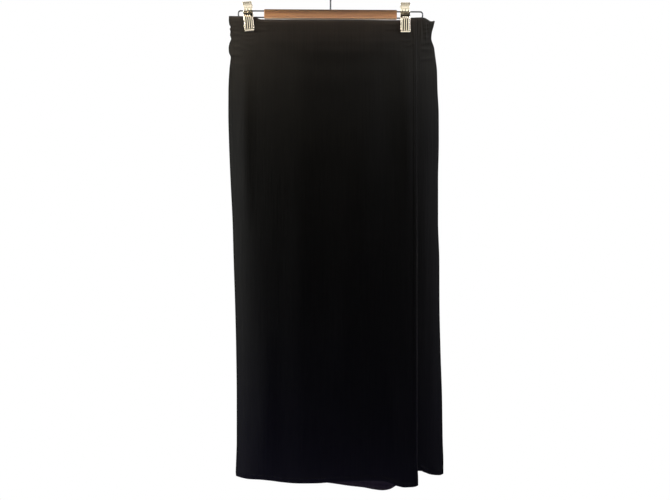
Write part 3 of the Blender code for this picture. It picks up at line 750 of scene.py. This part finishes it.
panels = {
    "wrap": {
        **oneLayer,
        "node": "front_wrap_panel",
        "right": freeEdge,
        "top": edgeAt["top"],
        "foot": edgeAt["wrapHem"],
        "depth": wrapY,
        "turned": {"top": skirt["topHem"], "foot": skirt["hem"], "right": skirt["freeHem"],
                   "left": skirt["seamAllowance"]},
        # painted sheen along the turned edges: reach and strength
        "folds": {"top": topPaintedSheen, "foot": hemPaintedSheen, "right": (1.1, 1)},
        "seams": ("left",),
        "columns": linesAlong(392, 3.4, skirt["seamAllowance"], skirt["freeHem"]),
        "rows": linesAlong(970, 6, skirt["topHem"], skirt["hem"], 104, 1.6),
    },
    "underlap": {
        **oneLayer,
        "node": "front_underlap_panel",
        "left": lambda drop: skirt["underlapEdge"] + 0 * drop,
        "top": edgeAt["top"],
        "foot": edgeAt["underlapHem"],
        "depth": frontY,
        "turned": {"top": skirt["topHem"], "foot": skirt["hem"], "right": skirt["seamAllowance"]},
        "folds": {"top": topPaintedSheen, "foot": hemPaintedSheen},
        "seams": ("right",),
        "columns": underlapColumns,
        "rows": linesAlong(950, 6, skirt["topHem"], skirt["hem"], 104, 1.6),
    },
    "back": {
        **oneLayer,
        "node": "back_panel",
        "faces": "back",
        "top": lambda x: waistbandSeam(x) + 0.1,
        "foot": edgeAt["backHem"],
        "depth": backY,
        "turned": {"foot": skirt["hem"], "left": skirt["seamAllowance"],
                   "right": skirt["seamAllowance"]},
        "folds": {"foot": hemPaintedSheen},
        "seams": ("left", "right"),
        "start": skirt["casingDepth"],
        "columns": linesAlong(430, 2.9, skirt["seamAllowance"], skirt["seamAllowance"]),
        "rows": linesAlong(935, 6.5, 0, skirt["hem"], 64, 2.6),
    },
    "waistband": {
        **oneLayer,
        "node": "back_waistband",
        "slot": "elastic_casing",
        "faces": "back",
        "top": edgeAt["waistbandTop"],
        "foot": waistbandSeam,
        "depth": waistbandY,
        "turned": {},
        "seams": (),
        "wall": 1,
        "thickness": skirt["casing"],
        "columns": linesAlong(430, 1.5),
        "rows": linesAlong(44, 1.4),
    },
}

for key, panel in panels.items():
    finishPiece(makePanel(panel), panel["slot"], (crepe, crepeInside), panel["node"])
    print("sewn:", panel["node"])


def makeStitches():
    bm = bmesh.new()
    front, back = -1, 1
    # panel, edge, start and end along it, facing
    rows = (
        ("wrap", "foot", -186, 172, front),
        ("wrap", "right", 42, 972, front),
        ("underlap", "foot", 184, 226, front),
        ("back", "foot", -186, 224, back),
    )
    for key, side, low, high, outwards in rows:
        stitchRow(bm, edgeStitches(panels[key], side, low, high, outwards), (0, outwards, 0))
    x = np.linspace(*gathers["rowEnds"], 500)
    for drop in casingRows(x):
        y = waistbandY(x, drop) + skirt["casing"] / 2
        points = np.stack([x, y, skirt["waistZ"] - drop], axis=1)
        stitchRow(bm, points, (0, back, 0), length=2, gap=0.9)
    return bm


addPiece(makeStitches(), "sewing_threads", 40, "crepe", thread)
print("stitched the hems and the casing")


# ---- hanger

hanger = {
    "barLength": 279,
    "barHeight": 18.9,
    "barThickness": 13,
    "barRounding": 1.7,
    "barBottom": -91.2,
    "wire": 3,
    "upperWireZ": -74.9,
    "tilt": 0.34,  # degrees, left end up
    "loopHeight": 13.5,
    "loopEnd": 194,
    "loopBend": 5,
    "wireSeat": 14,
    "hookWire": 3.6,
    "hookInner": 20,
    "hookArc": (-55, 196),  # degrees
    "hookStemTop": -54,
    "hookSeat": 12,
    "hookReach": 0.45,  # how softly the stem bends into the arc
    "seatGap": 0.5,
}


def wireShape(points, diameter, sides=4, rounded=True):
    # a tube along points in mm, with the caps welded on and softened
    curve = bpy.data.curves.new("wire", "CURVE")
    curve.dimensions = "3D"
    spline = curve.splines.new("POLY")
    spline.points.add(len(points) - 1)
    for point, position in zip(spline.points, points):
        point.co = (*(Vector(position) * mm), 1)
    curve.bevel_depth = diameter * mm / 2
    curve.bevel_resolution = sides
    curve.use_fill_caps = True
    temporary = bpy.data.objects.new("wire", curve)
    mesh = bpy.data.meshes.new_from_object(temporary)
    bpy.data.objects.remove(temporary)
    bpy.data.curves.remove(curve)
    bm = bmesh.new()
    bm.from_mesh(mesh)
    bpy.data.meshes.remove(mesh)
    bmesh.ops.remove_doubles(bm, verts=bm.verts, dist=diameter * mm * 0.01)
    bmesh.ops.recalc_face_normals(bm, faces=bm.faces)
    if rounded:
        rims = [e for e in bm.edges if e.calc_face_angle(0) > math.radians(60)]
        bmesh.ops.bevel(bm, geom=rims, offset=diameter * mm * 0.2, segments=3, profile=0.5,
                        affect="EDGES", material=-1)
    return bm


def tilted(x):
    # how far the hanger's tilt lifts it at X
    return -x * math.sin(math.radians(hanger["tilt"]))


def arc(x, z, radius, start, end, count):
    return [(x + radius * math.cos(angle), 0, z + radius * math.sin(angle))
            for angle in np.linspace(start, end, count)]


def loopPoints(way):
    start = hanger["barLength"] / 2 - hanger["wireSeat"] + hanger["seatGap"]
    upperZ, bend = hanger["upperWireZ"], hanger["loopBend"]
    lowerZ = upperZ - hanger["loopHeight"]
    corner = hanger["loopEnd"] - bend
    points = [(start, 0, upperZ), *arc(corner, upperZ - bend, bend, math.pi / 2, 0, 11),
              *arc(corner, lowerZ + bend, bend, 0, -math.pi / 2, 11), (start, 0, lowerZ)]
    return [(way * x, y, z + tilted(way * x)) for x, y, z in points]


def hookPoints():
    radius = hanger["hookInner"] + hanger["hookWire"] / 2
    start, end = np.radians(hanger["hookArc"])
    centreZ = -hanger["hookInner"]
    footZ = hanger["barBottom"] + hanger["barHeight"] - hanger["hookSeat"] + hanger["seatGap"]
    neck = Vector((0, 0, hanger["hookStemTop"]))
    arcStart = Vector(arc(0, centreZ, radius, start, start, 1)[0])
    heading = Vector((-math.sin(start), 0, math.cos(start)))
    reach = (arcStart - neck).length * hanger["hookReach"]
    handles = (neck, neck + Vector((0, 0, reach)), arcStart - heading * reach, arcStart)
    points = [Vector((0, 0, footZ))]
    for t in np.linspace(0, 1, 15)[:-1]:
        weights = ((1 - t) ** 3, 3 * t * (1 - t) ** 2, 3 * t * t * (1 - t), t**3)
        points.append(sum((h * w for h, w in zip(handles, weights)), Vector()))
    return points + arc(0, centreZ, radius, start, end, 61)


def makeBar():
    bm = bmesh.new()
    bmesh.ops.create_cube(bm, size=1)
    size = Vector((hanger["barLength"], hanger["barThickness"], hanger["barHeight"])) * mm
    bmesh.ops.scale(bm, vec=size, verts=bm.verts)
    bmesh.ops.bevel(bm, geom=bm.edges, offset=hanger["barRounding"] * mm, segments=6, profile=0.5,
                    affect="EDGES", material=-1)
    height = bm.verts.layers.float.new("height")
    for vertex in bm.verts:
        vertex[height] = vertex.co.z / mm / hanger["barHeight"] + 0.5
    middle = Vector((0, 0, (hanger["barBottom"] + hanger["barHeight"] / 2) * mm))
    turn = Matrix.Rotation(math.radians(hanger["tilt"]), 4, "Y")
    bmesh.ops.transform(bm, matrix=Matrix.Translation(middle) @ turn, verts=bm.verts)
    return bm


beech = makeBeech()
# drawn galvanised wire: dull blue-grey with fine marks along it
wireSteel = makeMetal("galvanised steel wire", "#3b3e42", "#606367", (0.26, 0.42), (0.05, 1, 1))
# bright nickel over stamped steel: warm and almost mirror-like, dulled by handling; its near-black
# groove colour is partly tarnish, partly painted shade
nickel = makeMetal("bright nickel plated steel", "#dcd3bd", "#fbf4e2", (0.16, 0.3), (1, 1, 0.06),
                   "#120c07")
springSteel = makeMetal("oiled spring wire", "#4b4a48", "#7d7a75", (0.3, 0.45), (1, 1, 1))

addPiece(makeBar(), "hanger_bar_wood", 30, "wood", beech, "hanger_bar")
for side, way in (("left", -1), ("right", 1)):
    node = f"wire_loop_{side}"
    loop = wireShape(loopPoints(way), hanger["wire"])
    addPiece(loop, node + "_wire", 50, "wire", wireSteel, node)
hook = wireShape(hookPoints(), hanger["hookWire"], 6)
addPiece(hook, "hanger_hook_wire", 50, "wire", wireSteel, "hanger_hook")
print("made the hanger's bar, wires and hook")


# ---- clips

clip = {
    "sheet": 0.9,
    "columns": 46,
    "ribs": 4,
    "ribHeight": 1.3,
    "ribPower": 0.85,  # below 1: round ribs, narrow grooves
    "ribPitch": 4.18,
    "tarnishAndShade": 0.42,  # below 1: dark floors, bright ribs; the dark is partly tarnish, partly painted shade
    "paintedSideShade": 0.55,  # painted shade beside the last rib
    "flange": 3,  # depth of the side edges turned back
    "lipFlange": 0.15,  # the same at the lip
    "flangeGrowth": 0.7,  # its growth as the jaw leaves the cloth
    "ear": 1.9,  # how much deeper they are beside the spring
    "earHeight": 5.5,
    "wireNotch": (13, 2.6),  # drop and radius of their notch for the lower wire
    "cornerRadius": 0.9,
    "lip": (41.1, 1.9, 0.75),  # drop of the rolled lip's middle, radius, fullness
    "curl": (-15.2, 1.5, 0.8),  # the same for the finger end
    "dimples": ((-5.3, 6.8, 1.1), (-5.6, -1, 0.9), (0.4, -1, 1.1), (6.6, -1, 0.9),
                (6.2, 6.4, 0.7)),  # across, drop, radius
    "dimpleDepth": 0.7,
    "stamp": (0.9, 4.4, 2.7, 0.55),  # a crescent: across, drop, radius, half width
    "stampTop": -0.8,  # it is open above this
    "stampDepth": 0.5,
    "boss": (1.6, 0.45),  # radius and height of the boss inside it
    # drop below the upper wire, share of the reach, distance out, share of the ribs
    "rows": ((-16, 0, 13.6, 0), (-7, 0, 9.4, 0), (0, 0, 6.8, 0), (8, 0.5, 6.4, 0.2),
             (13, 0.8, 5.7, 0.7), (20, 1, 3.7, 0.95), (28, 1, 2, 1), (36, 1, 1.1, 1),
             (38.9, 1, 0.95, 1), (39.7, 1, 0.8, 0), (43.2, 1, 0, 0)),
}


def jawSection(flange, firstGroove):
    # cross-section from one turned-back edge to the other: across, back, rib phase
    half, radius = clipWidth / 2, clip["cornerRadius"]
    cornerDepth = min(radius, 0.75 * flange)
    section = [(-half, -cornerDepth - share * (flange - cornerDepth), None)
               for share in (1, 0.66, 0.33)]
    for angle in np.radians((0, 30, 60, 90)):
        section.append((-half + radius - radius * math.cos(angle),
                        cornerDepth * (math.sin(angle) - 1), None))
    flat = half - radius
    for across in np.linspace(-flat, flat, clip["columns"])[1:-1]:
        phase = (across - firstGroove) / clip["ribPitch"]
        section.append((across, 0, phase if 0 < phase < clip["ribs"] else None))
    return section + [(-across, back, None) for across, back, phase in reversed(section[:7])]


def jawRelief(across, drop, phase, ribShare):
    # height of the pressed pattern, and how deep in a groove a point is from 0 to 1, which darkens it:
    # partly tarnish and partly painted shade in the grooves, dimples and stamp, and painted shade
    # alone past the last rib
    rise, groove = 0, 0
    if phase is not None:
        wave = abs(math.sin(math.pi * phase)) ** clip["ribPower"]
        rise = clip["ribHeight"] * ribShare * wave
        groove = ribShare * (1 - wave) ** clip["tarnishAndShade"]
    # painted shade on the side past the last rib
    elif across > 0:
        groove = clip["paintedSideShade"] * ribShare
    for dimpleAcross, dimpleDrop, radius in clip["dimples"]:
        away = math.hypot(across - dimpleAcross, drop - dimpleDrop) / radius
        dent = math.exp(-(away**4))
        rise -= clip["dimpleDepth"] * dent
        groove = max(groove, dent)
    stampAcross, stampDrop, radius, halfWidth = clip["stamp"]
    away = math.hypot(across - stampAcross, drop - stampDrop)
    if drop > stampDrop + clip["stampTop"]:
        mark = math.exp(-(((away - radius) / halfWidth) ** 2))
        rise -= clip["stampDepth"] * mark
        groove = max(groove, mark)
    bossRadius, bossHeight = clip["boss"]
    rise += bossHeight * math.exp(-((away / bossRadius) ** 4))
    return rise, groove


def makeJaw(facing, reach, one):
    out, grip, rib = (smoothLine([(row[0], row[i]) for row in clip["rows"]]) for i in (2, 1, 3))
    top, foot = clip["rows"][0][0], clip["rows"][-1][0]
    # finest round the finger end's curl, the dimples and the lip
    drops = np.concatenate([np.linspace(top, top + 3.4, 9), np.linspace(top + 4.2, -3, 9),
                            np.arange(-2.4, 11, 0.6), np.arange(11.2, 38, 1),
                            np.linspace(38.2, foot, 15)])[::-1].tolist()
    columns = len(jawSection(clip["flange"], one["firstGroove"]))
    notchDrop, notchRadius = clip["wireNotch"]
    bm = bmesh.new()
    bmesh.ops.create_grid(bm, x_segments=columns - 1, y_segments=len(drops) - 1, size=1)
    depthInGroove = bm.verts.layers.float.new("groove")
    for index, vertex in enumerate(bm.verts):
        drop = drops[index // columns]
        seat, gripped = float(out(drop)), float(grip(drop))
        ear = clip["ear"] * math.exp(-((drop / clip["earHeight"]) ** 2))
        flange = min(clip["flange"], clip["lipFlange"] + clip["flangeGrowth"] * seat) + ear
        fromNotch = notchRadius**2 - (drop - notchDrop) ** 2
        if fromNotch > 0:
            toWires = seat + gripped * (reach - facing * skirt["forward"])
            flange = min(flange, toWires - math.sqrt(fromNotch))
        across, back, phase = jawSection(flange, one["firstGroove"])[index % columns]
        rise, groove = jawRelief(across, drop, phase, float(rib(drop))) if back == 0 else (0, 0)
        for middle, radius, fullness in (clip["lip"], clip["curl"]):
            rise += fullness * math.sqrt(max(0, radius**2 - (drop - middle) ** 2))
        height = seat + gripped * reach + rise + back
        z = drop + one["longer"] * max(0, drop) / foot
        vertex[depthInGroove] = groove
        y = facing * height - skirt["forward"] * gripped
        vertex.co = Vector((-facing * across, y, -z)) * mm
    return bm


def putOnWire(bm, one):
    # clips are modelled round the upper wire, then leaned and moved
    turn = Matrix.Rotation(-math.radians(one["lean"]), 4, "Y")
    move = Matrix.Translation(Vector((one["x"], 0, hanger["upperWireZ"] + tilted(one["x"]))) * mm)
    bmesh.ops.transform(bm, matrix=move @ turn, verts=bm.verts)
    return bm


spring = {
    "wire": 1.5,
    "radius": 4.7,
    "turns": 8.5,
    "length": 14.5,
    "legUp": 10.5,
    "legOut": 8.2,
    "legBend": (0.2, 1, 2.6),  # how they leave the coil: aside, outwards and up
}


def springPoints():
    half, radius = spring["length"] / 2, spring["radius"]
    aside, past, rise = spring["legBend"]
    end, bend = half + 2 * aside, half + aside
    turns = []
    steps = round(18 * spring["turns"])
    for step in range(steps + 1):
        angle = 2 * math.pi * spring["turns"] * step / steps
        turns.append((-half + 2 * half * step / steps,
                      -radius * math.cos(angle), radius * math.sin(angle)))
    return [(-end, -spring["legOut"], spring["legUp"]), (-bend, -radius - past, rise), *turns,
            (bend, radius + past, rise), (end, spring["legOut"], spring["legUp"])]


for side, one in clips.items():
    seat = skirt["seamGap"] + clip["sheet"] / 2
    extraLayers = (one["layers"] - 1) * (skirt["layer"] + skirt["overlapGap"])
    reaches = {
        "front": (-1, skirt["layer"] + skirt["seamGap"] / 2 + extraLayers + seat),
        "back": (1, skirt["casing"] + skirt["seamGap"] / 2 + seat),
    }
    for which, (facing, reach) in reaches.items():
        node = f"clip_{side}_{which}_jaw"
        bm = putOnWire(makeJaw(facing, reach, one), one)
        jaw = addPiece(bm, node + "_plate", 45, "nickel", nickel, node)
        sheet = jaw.modifiers.new("sheet", "SOLIDIFY")
        sheet.thickness = clip["sheet"] * mm
        sheet.offset = 0
    node = f"clip_{side}_spring"
    coil = putOnWire(wireShape(springPoints(), spring["wire"], 2, False), one)
    addPiece(coil, node + "_coil", 60, "wire", springSteel, node)
print("made both clips")


# ---- floor, light and camera

studio = {
    "floorZ": -2.2,  # metres from here on
    "floorRadius": 0.95,
    "floorGlow": 0.16,  # a little light of its own keeps it pale from above
    "background": "#ffffff",
    "ambient": 0.006,
    "cameraPlace": (0.00945, -2.0054, -0.5774),
    "lens": 51.17,
}


def makeFloor():
    bm = bmesh.new()
    bmesh.ops.create_circle(bm, cap_ends=True, segments=96, radius=studio["floorRadius"])
    bmesh.ops.translate(bm, vec=(0, 0, studio["floorZ"]), verts=bm.verts)
    floor = newObject("floor", meshFrom(bm, "floor", None))
    material, tree, shader = newMaterial("matt pale floor", {
        "Base Color": "#fcfcfb",
        "Roughness": 0.95,
        "Specular IOR Level": 0.1,
        "Emission Color": "#fbfaff",
        "Emission Strength": studio["floorGlow"],
    })
    floor.data.materials.append(material)


def addLight(name, kind, place, target, power, hexColor, size, spread=180):
    data = bpy.data.lights.new(name, kind)
    data.energy = power
    data.color = linearColor(hexColor)[:3]
    if kind == "AREA":
        data.shape = "RECTANGLE"
        data.size, data.size_y = size
        data.spread = math.radians(spread)
    else:
        data.angle = size
    light = newObject(name, data)
    light.location = place
    light.rotation_euler = (Vector(target) - Vector(place)).to_track_quat("-Z", "Y").to_euler()
    light.visible_camera = False
    return light


def makeWorld():
    world = bpy.data.worlds.new("pale studio")
    world.use_nodes = True
    tree = world.node_tree
    tree.nodes.clear()
    seen = addNode(tree, "Background", {"Color": studio["background"]})
    lit = addNode(tree, "Background", {"Color": "#f3f4f6", "Strength": studio["ambient"]})
    toCamera = addNode(tree, "LightPath").outputs["Is Camera Ray"]
    mixed = addNode(tree, "MixShader", {}, {0: toCamera, 1: lit, 2: seen})
    addNode(tree, "OutputWorld", {}, {"Surface": mixed})
    bpy.context.scene.world = world


makeFloor()
makeWorld()
# name, place, target, watts, colour, width and height, spread in degrees, and whether it lights
# matt things and is mirrored in glossy ones
softLights = (
    ("left softbox", (-0.95, -0.015, -0.27), (0, 0, -0.55), 6, "#fffef8", (0.26, 1.1), 180, 1, 1),
    ("right softbox", (0.95, -0.015, -0.05), (0, 0, -0.4), 5, "#fbfaff", (0.26, 0.6), 180, 1, 1),
    ("left rear softbox", (-0.9, 0.05, -0.2), (0, 0, -0.35), 10.4, "#fdfdff", (0.2, 0.7), 180, 1, 1),
    ("right rear softbox", (0.9, 0.05, -0.1), (0, 0, -0.35), 3.8, "#e9e4ff", (0.2, 0.7), 180, 1, 1),
    ("left corner", (-0.42, -0.13, 0.04), (-0.21, 0, -0.14), 0.18, "#ffeed4", (0.12, 0.12), 80, 1, 1),
    ("right corner", (0.43, -0.13, 0.04), (0.22, 0, -0.14), 0.17, "#fffdf7", (0.12, 0.12), 80, 1, 1),
    ("left waist", (-0.31, -0.065, -0.09), (-0.2, 0, -0.16), 0.11, "#fff2de", (0.06, 0.06), 100, 1, 0),
    ("right waist", (0.33, -0.06, -0.08), (0.22, 0, -0.18), 0.075, "#fff8ee", (0.06, 0.06), 100, 1, 0),
    ("wood bounce", (-0.01, -0.034, -0.083), (-0.01, -0.02, -0.13), 0.104, "#ffe1c9",
     (0.4, 0.006), 180, 1, 0),
    ("hem", (-0.02, -0.12, -1.17), (-0.02, 0, -1.03), 0.056, "#b6abff", (0.44, 0.03), 120, 1, 0),
    ("left foot", (-0.75, -0.2, -1.15), (-0.2, 0, -0.98), 0.09, "#2c24ff", (0.2, 0.2), 60, 1, 0),
    ("right foot", (0.75, -0.2, -1.1), (0.2, 0, -0.94), 0.035, "#2c24ff", (0.2, 0.2), 60, 1, 0),
    ("back fill", (0.2, 1.4, 0.3), (0, 0, -0.5), 5.5, "#fff9f0", (0.9, 0.9), 180, 1, 1),
    # two big dim cards for the metal to mirror
    ("front reflector", (0, -2.7, -0.5), (0, 0, -0.5), 54, "#fffaf2", (3.6, 3), 180, 0, 1),
    ("rear reflector", (0, 2.7, -0.5), (0, 0, -0.5), 46, "#fffaf2", (3.6, 3), 180, 0, 1),
)
addLight("overhead", "SUN", (0, 0, 4), (0, 0, 0), 0.3, "#fffefb", math.radians(6))
for name, place, target, watts, hexColor, size, spread, lights, mirrored in softLights:
    light = addLight(name, "AREA", place, target, watts, hexColor, size, spread)
    light.visible_diffuse = bool(lights)
    light.visible_glossy = bool(mirrored)

cameraData = bpy.data.cameras.new("camera")
cameraData.sensor_width = 36
cameraData.lens = studio["lens"]
camera = newObject("camera", cameraData)
camera.location = studio["cameraPlace"]
camera.rotation_euler = (math.radians(90), 0, 0)
bpy.context.scene.camera = camera
bpy.context.scene.view_settings.view_transform = "Standard"
print("set up the floor, the light and the camera")
